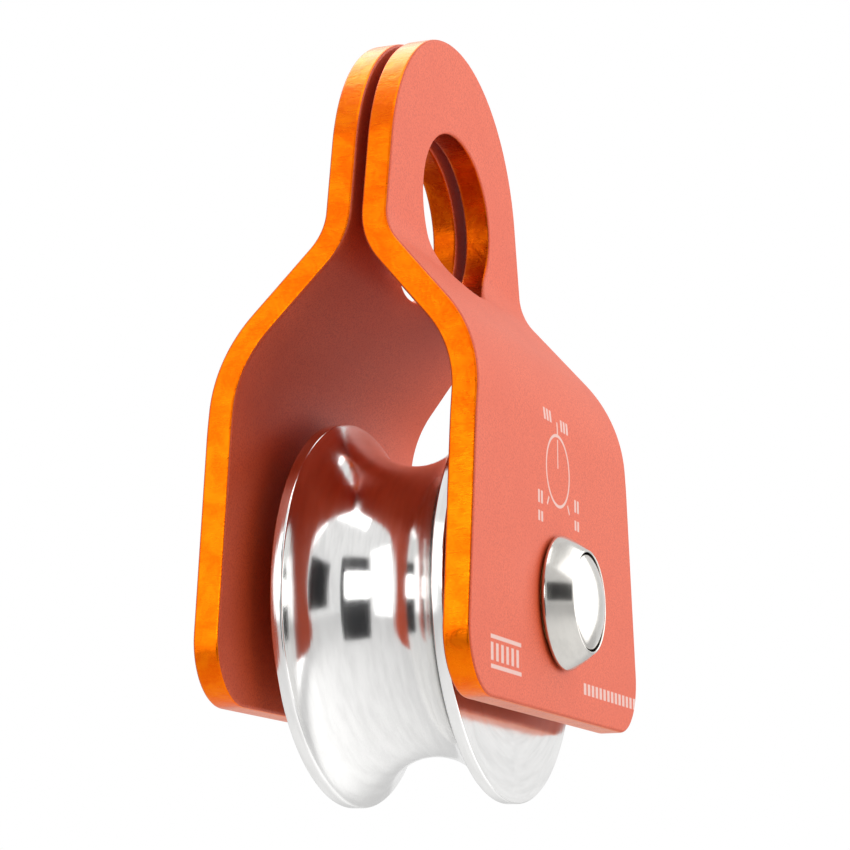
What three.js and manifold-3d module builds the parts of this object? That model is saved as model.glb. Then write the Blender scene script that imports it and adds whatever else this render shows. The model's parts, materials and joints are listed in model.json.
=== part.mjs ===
// A swing-cheek rope pulley: two bent side plates with an eye, a grooved sheave on a ball bearing, and the
// stainless pin that they all turn on. Millimetres, +Z up, +X along the pin towards the near cheek.
// The origin is the centre of the eye, where a connector holds the pulley up.
import * as THREE from "three";
import { mergeVertices } from "three/addons/utils/BufferGeometryUtils.js";
import Module from "manifold-3d";

const wasm = await Module();
wasm.setup();

// Overall layout
const EYE_ABOVE_PIN = 64;

// Side plates (cheeks)
const PLATE = 4.3;
const EAR_GAP = 1.6; // between the two plates at the eye
const CHEEK_SPACE = 34.6; // between the two plates beside the sheave
const EYE_HALF_WIDTH = 15; // the eye is a little wider than it is tall
const EYE_HALF_HEIGHT = 13.2;
const EAR_RADIUS = 28.7;
const UPPER_BEND_RADIUS = 11; // radius of the plate's middle surface
const LOWER_BEND_RADIUS = 21;
const UPPER_BEND_ABOVE_PIN = 53.5; // where the straight runs on each side of a bend would meet
const LOWER_BEND_ABOVE_PIN = 34.5;
const SHOULDER_HALF_WIDTH = 36.8;
const SHOULDER_ABOVE_PIN = 23.5;
const FOOT_HALF_WIDTH = 41.4;
const FOOT_BELOW_PIN = 17.4;
const FOOT_CORNER_RADIUS = 9.2;
const SHOULDER_RADIUS = 40;

// Sheave
const SHEAVE_RADIUS = 30.5;
const SHEAVE_WIDTH = 27.6;
const RIM_LAND = 1.8;
const GROOVE_DEPTH = 7.6;
const HUB_SHOULDER = 2; // how far the bearing's stop reaches in
const RECESS_CHAMFER = 1;

// Pin, collars, bushes, washers and spacers
const PIN_RADIUS = 7.35;
const PIN_DOME = 1.9;
const PIN_DOME_EDGE = 0.25;
const COLLAR_FOOT_WALL = 2.85; // from the collar's bore out to its foot
const COLLAR_TOP_WALL = 0.3;
const COLLAR_HEIGHT = 4.6;
const COLLAR_RIM = 0.7;
const BUSH_WALL = 1.5;
const WASHER_WALL = 5.5;
const SPACER_WALL = 1.8;
const WASHER_CLEAR_OF_SHEAVE = 1; // along the pin, so that the wheel never rubs on it

// Ball bearing, which fits the pin
const BEARING_HEIGHT = 6.5; // from its bore out to its rim
const RACE_WIDTH = 7;
const RACE_WALL = 2; // thickness of each race beside its track
const BALL_RADIUS = 1.9;
const BALL_COUNT = 10;
const CAGE_HALF_WIDTH = 2.65;
const CAGE_WALL = 1.2;
const SHIELD = 0.35;
const SHIELD_INSET = 0.1;

// Snap ring
const SNAP_RING = 1;
const SNAP_RING_BAND = 1.6;
const SNAP_RING_DEPTH = 0.6; // how far it sits in its groove
const SNAP_RING_GAP = 38; // degrees left open
const SNAP_LUG_RADIUS = 1.5;
const SNAP_LUG_HOLE_RADIUS = 0.6;

// Clearances
const END_GAP = 0.3; // between faces that lie against each other
const FIT_GAP = 0.15; // radial, where one piece seats in or on another
const TURN_GAP = 0.25; // radial, where one piece turns inside another
const COLLAR_GAP = 0.3; // the dark line round the pin's dome

const ALUMINIUM_ORANGE = { color: 0xe5633a, roughness: 0.5, metalness: 0.6 };
const ALUMINIUM_POLISHED = { color: 0xdfe0e2, roughness: 0.18, metalness: 1 };
const STAINLESS = { color: 0xc9c8c4, roughness: 0.2, metalness: 1 };
const BEARING_STEEL = { color: 0xa9acb0, roughness: 0.25, metalness: 1 };
const SPRING_STEEL = { color: 0x3b3c3f, roughness: 0.45, metalness: 1 };
const BRONZE = { color: 0xb08445, roughness: 0.4, metalness: 1 };
const NYLON = { color: 0x2a2a2c, roughness: 0.6, metalness: 0 };

const ROUND = 64; // sides of a large turned piece
const ROUND_SMALL = 40;
const EXTRA = 10; // how far a cutting tool runs past what it cuts

const radians = THREE.MathUtils.degToRad;
const pulley = new THREE.Group();
const onPin = new THREE.Group();
onPin.position.z = -EYE_ABOVE_PIN;
pulley.add(onPin);

function addPiece(name, geometry, finish) {
  const mesh = new THREE.Mesh(geometry, new THREE.MeshStandardMaterial(finish));
  mesh.name = name;
  onPin.add(mesh);
  return mesh;
}

// ---- joining and cutting ----

function toSolid(geometry) {
  const bare = geometry.clone();
  bare.deleteAttribute("normal");
  bare.deleteAttribute("uv");
  const merged = mergeVertices(bare, 1e-4);
  return new wasm.Manifold(
    new wasm.Mesh({
      numProp: 3,
      vertProperties: merged.attributes.position.array,
      triVerts: new Uint32Array(merged.index.array),
    }),
  );
}

function toGeometry(solid) {
  const { vertProperties, triVerts } = solid.getMesh();
  const geometry = new THREE.BufferGeometry();
  geometry.setAttribute("position", new THREE.BufferAttribute(vertProperties, 3));
  geometry.setIndex(new THREE.BufferAttribute(triVerts, 1));
  geometry.computeVertexNormals();
  return geometry;
}

// ---- basic shapes about the pin's axis ----

// Turns a closed profile of [radius, x] points, listed anticlockwise with x to the right, about the X axis.
function turned(profile, sides) {
  const points = profile.map(([radius, x]) => new THREE.Vector2(radius, x));
  const geometry = new THREE.LatheGeometry(points, sides);
  geometry.rotateZ(-Math.PI / 2);
  return geometry;
}

function ring(innerRadius, outerRadius, fromX, toX, sides) {
  const profile = [
    [innerRadius, fromX],
    [outerRadius, fromX],
    [outerRadius, toX],
    [innerRadius, toX],
    [innerRadius, fromX],
  ];
  return turned(profile, sides);
}

// Points of an arc about (radius, x), from one angle to another, in degrees from the radial direction.
function arcPoints(centreRadius, centreX, arcRadius, fromDegrees, toDegrees, steps) {
  return Array.from({ length: steps + 1 }, (_, i) => {
    const angle = radians(fromDegrees + ((toDegrees - fromDegrees) * i) / steps);
    return [centreRadius + arcRadius * Math.cos(angle), centreX + arcRadius * Math.sin(angle)];
  });
}

// ---- side plates ----

// Points along a polyline whose corners are rounded with the given radii.
function roundedPath(corners, radii, steps) {
  const points = [corners[0]];
  for (let i = 1; i < corners.length - 1; i++) {
    const corner = corners[i];
    const back = corners[i - 1].clone().sub(corner).normalize();
    const on = corners[i + 1].clone().sub(corner).normalize();
    const half = Math.acos(back.dot(on)) / 2;
    const reach = radii[i - 1] / Math.tan(half);
    const centre = back.clone().add(on).normalize();
    centre.multiplyScalar(radii[i - 1] / Math.sin(half)).add(corner);
    const first = corner.clone().addScaledVector(back, reach).sub(centre);
    const last = corner.clone().addScaledVector(on, reach).sub(centre);
    const turn = Math.atan2(first.cross(last), first.dot(last));
    for (let k = 0; k <= steps; k++)
      points.push(first.clone().rotateAround(new THREE.Vector2(), (turn * k) / steps).add(centre));
  }
  points.push(corners[corners.length - 1]);
  return points;
}

// The plate seen end on, as a strip in (x, z): the middle surface's path, set out by half the plate each way.
function bentStrip() {
  const earX = (EAR_GAP + PLATE) / 2;
  const sideX = (CHEEK_SPACE + PLATE) / 2;
  const top = EYE_ABOVE_PIN + EAR_RADIUS + EXTRA;
  const bottom = -FOOT_BELOW_PIN - EXTRA;
  const corners = [
    new THREE.Vector2(earX, top),
    new THREE.Vector2(earX, UPPER_BEND_ABOVE_PIN),
    new THREE.Vector2(sideX, LOWER_BEND_ABOVE_PIN),
    new THREE.Vector2(sideX, bottom),
  ];
  const side = (sign) => {
    const slope = Math.atan2(sideX - earX, UPPER_BEND_ABOVE_PIN - LOWER_BEND_ABOVE_PIN);
    const shift = (sign * PLATE) / 2;
    const rise = shift * Math.tan(slope / 2);
    const moved = [
      new THREE.Vector2(corners[0].x + shift, corners[0].y),
      new THREE.Vector2(corners[1].x + shift, corners[1].y + rise),
      new THREE.Vector2(corners[2].x + shift, corners[2].y + rise),
      new THREE.Vector2(corners[3].x + shift, corners[3].y),
    ];
    return roundedPath(moved, [UPPER_BEND_RADIUS - shift, LOWER_BEND_RADIUS + shift], 8);
  };
  return new THREE.Shape([...side(-1), ...side(1).reverse()]);
}

// The plate's outline and eye, in (y, z), as they look along the pin.
function plateOutline() {
  const shoulder = new THREE.Vector2(SHOULDER_HALF_WIDTH, SHOULDER_ABOVE_PIN);
  const foot = new THREE.Vector2(FOOT_HALF_WIDTH, -FOOT_BELOW_PIN);
  const ear = new THREE.Vector2(0, EYE_ABOVE_PIN);
  const toShoulder = shoulder.clone().sub(ear);
  const tangentAngle = toShoulder.angle() + Math.acos(EAR_RADIUS / toShoulder.length()) - 2 * Math.PI;
  const tangent = new THREE.Vector2(EAR_RADIUS, 0).rotateAround(new THREE.Vector2(), tangentAngle).add(ear);
  const middle = new THREE.Vector2(0, foot.y);
  const side = roundedPath([tangent, shoulder, foot, middle], [SHOULDER_RADIUS, FOOT_CORNER_RADIUS], 8);
  const outline = new THREE.Shape();
  outline.absarc(ear.x, ear.y, EAR_RADIUS, tangentAngle, Math.PI - tangentAngle, false);
  const mirrored = side.map((point) => new THREE.Vector2(-point.x, point.y));
  mirrored.slice(1).forEach((point) => outline.lineTo(point.x, point.y));
  side
    .slice(1, -1)
    .reverse()
    .forEach((point) => outline.lineTo(point.x, point.y));
  outline.holes.push(ellipsePath(0, EYE_ABOVE_PIN, EYE_HALF_WIDTH, EYE_HALF_HEIGHT));
  outline.holes.push(ellipsePath(0, 0, cheekBoreRadius(), cheekBoreRadius()));
  return outline;
}

function ellipsePath(x, y, halfWidth, halfHeight) {
  return new THREE.Path().absellipse(x, y, halfWidth, halfHeight, 0, 2 * Math.PI, true);
}

function cheekBoreRadius() {
  return PIN_RADIUS + TURN_GAP + BUSH_WALL + FIT_GAP;
}

function cheekOuterX() {
  return CHEEK_SPACE / 2 + PLATE;
}

// The near cheek. The strip runs across the plate's whole width, and the outline is cut through along the pin.
function cheek() {
  const width = 2 * (FOOT_HALF_WIDTH + EXTRA);
  const strip = new THREE.ExtrudeGeometry(bentStrip(), { depth: width, bevelEnabled: false });
  strip.translate(0, 0, -width / 2);
  strip.rotateX(Math.PI / 2);
  const outline = new THREE.ExtrudeGeometry(plateOutline(), {
    depth: cheekOuterX() + 2 * EXTRA,
    bevelEnabled: false,
    curveSegments: 24,
  });
  outline.translate(0, 0, -EXTRA);
  outline.rotateX(Math.PI / 2);
  outline.rotateZ(Math.PI / 2);
  return toSolid(strip).intersect(toSolid(outline));
}

// ---- sheave ----

function sheave() {
  const half = SHEAVE_WIDTH / 2;
  const grooveHalf = half - RIM_LAND;
  const arcRadius = (grooveHalf ** 2 + GROOVE_DEPTH ** 2) / (2 * GROOVE_DEPTH);
  const halfSweep = THREE.MathUtils.radToDeg(Math.asin(grooveHalf / arcRadius));
  const centre = SHEAVE_RADIUS - GROOVE_DEPTH + arcRadius;
  const seat = raceOuterRadius() + FIT_GAP;
  const stop = seat - HUB_SHOULDER;
  const seatFrom = -RACE_WIDTH / 2 - END_GAP;
  const ringFrom = snapRingX() - END_GAP / 2;
  const ringTo = snapRingX() + SNAP_RING + END_GAP / 2;
  const ringGroove = snapRingOuterRadius() + FIT_GAP;
  const profile = [
    [stop + RECESS_CHAMFER, -half],
    [SHEAVE_RADIUS, -half],
    ...arcPoints(centre, 0, arcRadius, 180 + halfSweep, 180 - halfSweep, 12),
    [SHEAVE_RADIUS, half],
    [seat + RECESS_CHAMFER, half],
    [seat, half - RECESS_CHAMFER],
    [seat, ringTo],
    [ringGroove, ringTo],
    [ringGroove, ringFrom],
    [seat, ringFrom],
    [seat, seatFrom],
    [stop, seatFrom],
    [stop, -half + RECESS_CHAMFER],
    [stop + RECESS_CHAMFER, -half],
  ];
  return turned(profile, ROUND);
}

// ---- ball bearing ----

function raceBoreRadius() {
  return PIN_RADIUS + FIT_GAP;
}

function raceOuterRadius() {
  return raceBoreRadius() + BEARING_HEIGHT;
}

function innerShoulderRadius() {
  return raceBoreRadius() + RACE_WALL;
}

function outerShoulderRadius() {
  return raceOuterRadius() - RACE_WALL;
}

function ballPitchRadius() {
  return raceBoreRadius() + BEARING_HEIGHT / 2;
}

function raceGroove(inner, steps) {
  const radius = BALL_RADIUS + TURN_GAP;
  const toShoulder = BEARING_HEIGHT / 2 - RACE_WALL;
  const sweep = THREE.MathUtils.radToDeg(Math.acos(toShoulder / radius));
  return inner
    ? arcPoints(ballPitchRadius(), 0, radius, 180 + sweep, 180 - sweep, steps)
    : arcPoints(ballPitchRadius(), 0, radius, sweep, -sweep, steps);
}

function innerRace() {
  const half = RACE_WIDTH / 2;
  const profile = [
    [raceBoreRadius(), -half],
    [innerShoulderRadius(), -half],
    ...raceGroove(true, 5),
    [innerShoulderRadius(), half],
    [raceBoreRadius(), half],
    [raceBoreRadius(), -half],
  ];
  return turned(profile, ROUND_SMALL);
}

function outerRace() {
  const half = RACE_WIDTH / 2;
  const profile = [
    [outerShoulderRadius(), -half],
    [raceOuterRadius(), -half],
    [raceOuterRadius(), half],
    [outerShoulderRadius(), half],
    ...raceGroove(false, 5),
    [outerShoulderRadius(), -half],
  ];
  return turned(profile, ROUND_SMALL);
}

function ballAngle(index) {
  return (2 * Math.PI * index) / BALL_COUNT;
}

function ballCage() {
  const inner = ballPitchRadius() - CAGE_WALL / 2;
  let solid = toSolid(ring(inner, inner + CAGE_WALL, -CAGE_HALF_WIDTH, CAGE_HALF_WIDTH, ROUND_SMALL));
  for (let i = 0; i < BALL_COUNT; i++) {
    const pocket = new THREE.CylinderGeometry(BALL_RADIUS + TURN_GAP, BALL_RADIUS + TURN_GAP, EXTRA, 16);
    pocket.translate(0, ballPitchRadius(), 0);
    pocket.rotateX(ballAngle(i));
    solid = solid.subtract(toSolid(pocket));
  }
  return toGeometry(solid);
}

function addBalls() {
  for (let i = 0; i < BALL_COUNT; i++) {
    const ball = addPiece(`ball_${i + 1}`, new THREE.SphereGeometry(BALL_RADIUS, 12, 8), BEARING_STEEL);
    ball.position.set(0, ballPitchRadius(), 0).applyAxisAngle(new THREE.Vector3(1, 0, 0), ballAngle(i));
  }
}

function shield() {
  const outerX = RACE_WIDTH / 2 - SHIELD_INSET;
  const inner = innerShoulderRadius() + TURN_GAP;
  return ring(inner, outerShoulderRadius() - FIT_GAP, outerX - SHIELD, outerX, ROUND_SMALL);
}

// ---- snap ring ----

function snapRingX() {
  return RACE_WIDTH / 2 + END_GAP;
}

function snapRingOuterRadius() {
  return raceOuterRadius() + FIT_GAP + SNAP_RING_DEPTH;
}

// An open ring that ends in two lugs with holes for the pliers.
function snapRing() {
  const outer = snapRingOuterRadius();
  const inner = outer - SNAP_RING_BAND;
  const halfGap = radians(SNAP_RING_GAP / 2);
  const start = Math.PI / 2 + halfGap;
  const end = Math.PI / 2 - halfGap + 2 * Math.PI;
  const shape = new THREE.Shape();
  shape.absarc(0, 0, outer, start, end, false);
  shape.absarc(0, 0, inner, end, start, true);
  const extrude = { depth: SNAP_RING, bevelEnabled: false, curveSegments: 24 };
  let solid = toSolid(new THREE.ExtrudeGeometry(shape, extrude));
  const lugCentre = outer - SNAP_LUG_RADIUS;
  for (const angle of [start, end]) {
    const x = lugCentre * Math.cos(angle);
    const y = lugCentre * Math.sin(angle);
    const lug = new THREE.Shape().absarc(x, y, SNAP_LUG_RADIUS, 0, 2 * Math.PI, false);
    solid = solid.add(toSolid(new THREE.ExtrudeGeometry(lug, extrude)));
  }
  for (const angle of [start, end]) {
    const hole = new THREE.CylinderGeometry(SNAP_LUG_HOLE_RADIUS, SNAP_LUG_HOLE_RADIUS, EXTRA, 16);
    hole.rotateX(Math.PI / 2);
    hole.translate(lugCentre * Math.cos(angle), lugCentre * Math.sin(angle), 0);
    solid = solid.subtract(toSolid(hole));
  }
  const geometry = toGeometry(solid);
  geometry.rotateX(Math.PI / 2);
  geometry.rotateZ(Math.PI / 2);
  geometry.translate(snapRingX(), 0, 0);
  return geometry;
}

// ---- pin and collars ----

function collarBaseX() {
  return cheekOuterX() + END_GAP;
}

function collarTopX() {
  return collarBaseX() + COLLAR_HEIGHT;
}

function collar() {
  const bore = PIN_RADIUS + COLLAR_GAP;
  const foot = bore + COLLAR_FOOT_WALL;
  const profile = [
    [bore, collarBaseX()],
    [foot - COLLAR_RIM / 2, collarBaseX()],
    [foot, collarBaseX() + COLLAR_RIM / 2],
    [foot, collarBaseX() + COLLAR_RIM],
    [bore + COLLAR_TOP_WALL, collarTopX()],
    [bore, collarTopX()],
    [bore, collarBaseX()],
  ];
  return turned(profile, ROUND_SMALL);
}

// The pin runs from dome to dome. Each dome starts a hair below its collar's top.
function axlePin() {
  const edge = collarTopX() - PIN_DOME_EDGE;
  const domeRadius = (PIN_RADIUS ** 2 + PIN_DOME ** 2) / (2 * PIN_DOME);
  const sweep = THREE.MathUtils.radToDeg(Math.asin(PIN_RADIUS / domeRadius));
  const centreX = edge + PIN_DOME - domeRadius;
  const far = arcPoints(0, -centreX, domeRadius, -90, sweep - 90, 6);
  const near = arcPoints(0, centreX, domeRadius, 90 - sweep, 90, 6);
  far[0][0] = 0;
  near[near.length - 1][0] = 0;
  return turned([...far, ...near], ROUND_SMALL);
}

function bush() {
  const inner = PIN_RADIUS + TURN_GAP;
  return ring(inner, inner + BUSH_WALL, CHEEK_SPACE / 2, cheekOuterX(), ROUND_SMALL);
}

function washerInnerX() {
  return SHEAVE_WIDTH / 2 + WASHER_CLEAR_OF_SHEAVE;
}

function washer() {
  const inner = PIN_RADIUS + FIT_GAP;
  return ring(inner, inner + WASHER_WALL, washerInnerX(), CHEEK_SPACE / 2 - END_GAP, ROUND_SMALL);
}

function spacer() {
  const inner = PIN_RADIUS + FIT_GAP;
  return ring(inner, inner + SPACER_WALL, RACE_WIDTH / 2 + END_GAP, washerInnerX() - END_GAP, ROUND_SMALL);
}

// ---- assembly ----

// A piece made for the near side, and its twin turned half round for the far side.
function addPair(name, geometry, finish) {
  addPiece(`near_${name}`, geometry, finish);
  addPiece(`far_${name}`, geometry, finish).rotation.z = Math.PI;
}

addPair("cheek", toGeometry(cheek()), ALUMINIUM_ORANGE);
addPair("bush", bush(), BRONZE);
addPair("washer", washer(), NYLON);
addPair("spacer", spacer(), STAINLESS);
addPair("collar", collar(), STAINLESS);
addPair("shield", shield(), SPRING_STEEL);
addPiece("axle_pin", axlePin(), STAINLESS);
addPiece("sheave", sheave(), ALUMINIUM_POLISHED);
addPiece("inner_race", innerRace(), BEARING_STEEL);
addPiece("outer_race", outerRace(), BEARING_STEEL);
addPiece("ball_cage", ballCage(), NYLON);
addBalls();
addPiece("retaining_ring", snapRing(), SPRING_STEEL);

export default pulley;
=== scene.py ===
"""A swing-cheek rope pulley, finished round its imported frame.

Two bent, anodised side plates hang from one connector through their eyes. They turn on a stainless
pin, which also carries a polished, grooved sheave on a sealed ball bearing.
Everything is in metres, with the origin at the middle of the eye, +X along the pin and +Z up.
"""

import json
import math

import bmesh
import bpy
from bpy.props import FloatProperty, FloatVectorProperty, IntProperty, PointerProperty
from mathutils import Matrix, Vector


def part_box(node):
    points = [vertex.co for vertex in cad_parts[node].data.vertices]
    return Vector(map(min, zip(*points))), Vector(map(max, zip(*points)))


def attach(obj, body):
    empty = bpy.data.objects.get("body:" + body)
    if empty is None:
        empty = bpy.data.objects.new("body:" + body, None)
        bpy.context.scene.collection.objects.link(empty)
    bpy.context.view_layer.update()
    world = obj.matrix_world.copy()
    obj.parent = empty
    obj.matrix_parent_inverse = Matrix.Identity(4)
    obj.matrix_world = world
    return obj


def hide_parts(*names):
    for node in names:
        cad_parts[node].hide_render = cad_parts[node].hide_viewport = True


bl_info = {
    "name": "Rope Pulley",
    "version": (1, 0, 0),
    "blender": (4, 5, 0),
    "location": "View3D > Sidebar > Rope Pulley",
    "description": "Finishes a swing-cheek rope pulley round its packed frame",
    "category": "Object",
}

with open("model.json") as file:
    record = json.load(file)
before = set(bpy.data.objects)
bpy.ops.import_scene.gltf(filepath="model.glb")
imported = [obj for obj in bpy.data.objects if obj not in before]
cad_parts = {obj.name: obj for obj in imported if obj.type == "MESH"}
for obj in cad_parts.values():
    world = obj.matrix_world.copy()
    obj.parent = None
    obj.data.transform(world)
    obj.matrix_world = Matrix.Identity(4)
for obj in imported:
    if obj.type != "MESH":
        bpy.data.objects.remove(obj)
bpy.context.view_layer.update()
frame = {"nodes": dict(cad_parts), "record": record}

MM = 0.001
ALONG_PIN = Vector((1, 0, 0))
ACROSS = Vector((0, -1, 0))  # arcs in a turned profile run from the pin outwards about this
WELD = 1e-7

BODY_OF = {
    node: body
    for body, nodes in frame["record"]["behaviour"]["bodies"].items()
    for node in nodes
}


# ---- what the frame says ----


def middle(node):
    """The centre of a node's box."""
    low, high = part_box(node)
    return (low + high) / 2


PIN_HEIGHT = middle("axle_pin").z


def reach(node):
    """A node's smallest and largest distance from the pin's axis."""
    distances = [
        math.hypot(vertex.co.y, vertex.co.z - PIN_HEIGHT)
        for vertex in frame["nodes"][node].data.vertices
    ]
    return min(distances), max(distances)


def along(node):
    """Where a node starts and ends along the pin."""
    low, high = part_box(node)
    return low.x, high.x


# ---- sizes and colours that can be changed ----


def length(name, description, default):
    return FloatProperty(
        name=name,
        description=description,
        default=default,
        min=0,
        precision=5,
        subtype="DISTANCE",
        unit="LENGTH",
    )


def colour(name, description, default):
    return FloatVectorProperty(
        name=name,
        description=description,
        default=default,
        size=3,
        min=0,
        max=1,
        subtype="COLOR",
    )


class PulleyCheekSizes(bpy.types.PropertyGroup):
    """Sizes of the two side plates."""

    plate: length("Plate", "Thickness of each side plate", 4.3 * MM)
    ear_gap: length("Ear gap", "Between the two plates at the eye", 1.6 * MM)
    cheek_space: length("Cheek space", "Between the plates beside the sheave", 34.6 * MM)
    ear_radius: length("Ear radius", "Outer radius round the eye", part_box("near_cheek")[1].z)
    eye_half_width: length("Eye half width", "Half the width of the oval eye", 15 * MM)
    eye_half_height: length("Eye half height", "Half the height of the oval eye", 13.2 * MM)
    eye_above_pin: length("Eye above pin", "Height of the eye over the pin", -PIN_HEIGHT)
    upper_bend: length("Upper bend", "Radius of the bend below the eye", 11 * MM)
    lower_bend: length("Lower bend", "Radius of the bend above the sheave", 21 * MM)
    upper_bend_height: length("Upper bend height", "Above the pin, unrounded", 53.5 * MM)
    lower_bend_height: length("Lower bend height", "Above the pin, unrounded", 34.5 * MM)
    shoulder_half: length("Shoulder half width", "Half the width at the shoulder", 36.8 * MM)
    shoulder_height: length("Shoulder height", "Shoulder's height over the pin", 23.5 * MM)
    shoulder_radius: length("Shoulder radius", "Rounding of the shoulder", 40 * MM)
    foot_half: length("Foot half width", "Half the width at the foot, unrounded", 41.4 * MM)
    foot_depth: length(
        "Foot depth", "Foot's depth below the pin", PIN_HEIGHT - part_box("near_cheek")[0].z
    )
    foot_corner: length("Foot corner", "Rounding of the foot's corners", 9.2 * MM)
    soft_edge: length("Soft edge", "Rounding where faces meet cut edges", 0.55 * MM)


class PulleySheaveSizes(bpy.types.PropertyGroup):
    """Sizes of the grooved wheel."""

    rim_land: length("Rim land", "Flat run on each side of the groove", 1.8 * MM)
    groove_depth: length("Groove depth", "Depth of the rope groove", 7.6 * MM)
    hub_shoulder: length("Hub shoulder", "How far the bearing's stop reaches in", 2 * MM)
    recess_chamfer: length("Recess chamfer", "Chamfer at the mouth of the bore", 1 * MM)
    soft_edge: length("Soft edge", "Rounding of the wheel's edges", 0.22 * MM)
    sides: IntProperty(
        name="Sides", description="Steps round the wheel", default=224, min=48, max=512
    )


class PulleyAxleSizes(bpy.types.PropertyGroup):
    """Sizes of the pin and what sits on it."""

    dome: length("Dome", "Rise of the pin's rounded ends", 1.9 * MM)
    collar_top: length("Collar top", "Width of the flat ring at a collar's top", 0.3 * MM)
    collar_rim: length("Collar rim", "Height of the straight rim at a collar's foot", 0.7 * MM)
    collar_belly: length("Collar belly", "How far a collar's flank swells out", 0.12 * MM)
    soft_edge: length("Soft edge", "Rounding of turned edges", 0.14 * MM)
    sides: IntProperty(
        name="Sides", description="Steps round the small pieces", default=128, min=48, max=256
    )


class PulleyBearingSizes(bpy.types.PropertyGroup):
    """Sizes of the ball bearing and its snap ring."""

    race_wall: length("Race wall", "Thickness of each race beside its track", 2 * MM)
    ball: length("Ball", "Radius of a ball", 1.9 * MM)
    play: length("Play", "Room round each ball in its track", 0.25 * MM)
    ring_band: length("Ring band", "Width of the snap ring", 1.6 * MM)
    ring_lug: length("Ring lug", "Radius of the snap ring's lugs", 1.5 * MM)
    ring_lug_hole: length("Lug hole", "Radius of the holes in the lugs", 0.6 * MM)
    ring_gap: FloatProperty(
        name="Ring gap",
        description="Angle left open in the snap ring",
        default=math.radians(38),
        subtype="ANGLE",
    )


class PulleyFinishes(bpy.types.PropertyGroup):
    """Colours of the finishes."""

    face_dye: colour("Face dye", "Anodised and blasted faces", (0.82, 0.116, 0.03))
    face_shade: colour("Face shade", "Darker patches of the faces", (0.66, 0.078, 0.022))
    edge_dye: colour("Edge dye", "Bright cut edges", (1.0, 0.2, 0.002))
    edge_shade: colour("Edge shade", "Darker patches of the cut edges", (0.86, 0.095, 0.001))
    # the bore colours are the edge colours darkened, painted shade for the walls inside the eyes
    bore_dye_in_painted_shade: colour("Bore in painted shade", "Walls of the eyes", (0.62, 0.1, 0.001))
    bore_blotch_in_painted_shade: colour("Bore blotches in painted shade", "Darker patches of the eyes' walls", (0.4, 0.03, 0.001))
    mark: colour("Mark", "Etched marks", (0.92, 0.72, 0.66))
    aluminium: colour("Aluminium", "Polished aluminium", (0.93, 0.925, 0.915))
    stainless: colour("Stainless", "Polished stainless steel", (0.64, 0.62, 0.585))
    bearing_steel: colour("Bearing steel", "Ground bearing steel", (0.62, 0.63, 0.65))
    spring_steel: colour("Spring steel", "Dark phosphated steel", (0.075, 0.077, 0.085))
    bronze: colour("Bronze", "Plain bush bronze", (0.55, 0.33, 0.12))
    nylon: colour("Nylon", "Moulded nylon", (0.028, 0.028, 0.031))


# ---- shader helpers ----


def put(tree, kind, settings=None, inputs=None):
    """Adds a node, with its settings, and with a value or a link on each named input."""
    made = tree.nodes.new(kind)
    for name, value in (settings or {}).items():
        setattr(made, name, value)
    for key, value in (inputs or {}).items():
        if isinstance(value, bpy.types.NodeSocket):
            tree.links.new(value, made.inputs[key])
        else:
            made.inputs[key].default_value = value
    return made


def calc(tree, operation, *values):
    """The result of a Math node."""
    return put(tree, "ShaderNodeMath", {"operation": operation}, dict(enumerate(values))).outputs[0]


def length_of(tree, first, second):
    """How far a point is from the middle, from its two distances along square axes."""
    squares = calc(tree, "POWER", first, 2), calc(tree, "POWER", second, 2)
    return calc(tree, "SQRT", calc(tree, "ADD", *squares))


def spread(tree, value, low, high):
    """A 0 to 1 value spread from low to high."""
    inputs = {"Value": value, "To Min": low, "To Max": high}
    return put(tree, "ShaderNodeMapRange", {}, inputs).outputs[0]


def step_up(tree, value, start, end):
    """0 below start, 1 above end, smooth between them."""
    settings = {"interpolation_type": "SMOOTHSTEP"}
    inputs = {"Value": value, "From Min": start, "From Max": end}
    return put(tree, "ShaderNodeMapRange", settings, inputs).outputs[0]


def blend_colours(tree, mask, first, second):
    """first where the mask is 0, second where it is 1."""
    inputs = {0: mask, 6: as_rgba(first), 7: as_rgba(second)}
    return put(tree, "ShaderNodeMix", {"data_type": "RGBA"}, inputs).outputs[2]


def as_rgba(value):
    return value if isinstance(value, bpy.types.NodeSocket) else (*value, 1)


def object_point(tree):
    """The point on the piece, measured from the pin's axis."""
    place = put(tree, "ShaderNodeTexCoord").outputs["Object"]
    return put(
        tree, "ShaderNodeMapping", {}, {"Vector": place, "Location": (0, 0, -PIN_HEIGHT)}
    ).outputs[0]


def new_group(name, inputs, outputs):
    """A node group with float inputs (name: default) and float outputs."""
    group = bpy.data.node_groups.new(name, "ShaderNodeTree")
    for label, default in inputs.items():
        socket = group.interface.new_socket(label, in_out="INPUT", socket_type="NodeSocketFloat")
        socket.default_value = default
    for label in outputs:
        group.interface.new_socket(label, in_out="OUTPUT", socket_type="NodeSocketFloat")
    return group, group.nodes.new("NodeGroupInput").outputs, group.nodes.new("NodeGroupOutput").inputs


def use_group(tree, name, inputs):
    """A node group's outputs, built the first time that it is asked for."""
    group = bpy.data.node_groups.get(name) or GROUPS[name](name)
    return put(tree, "ShaderNodeGroup", {"node_tree": group}, inputs).outputs


def noise(tree, point, scale, detail=2.0, roughness=0.5, distortion=0.0):
    inputs = {
        "Vector": point,
        "Scale": scale,
        "Detail": detail,
        "Roughness": roughness,
        "Distortion": distortion,
    }
    return put(tree, "ShaderNodeTexNoise", {}, inputs).outputs[0]


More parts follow.
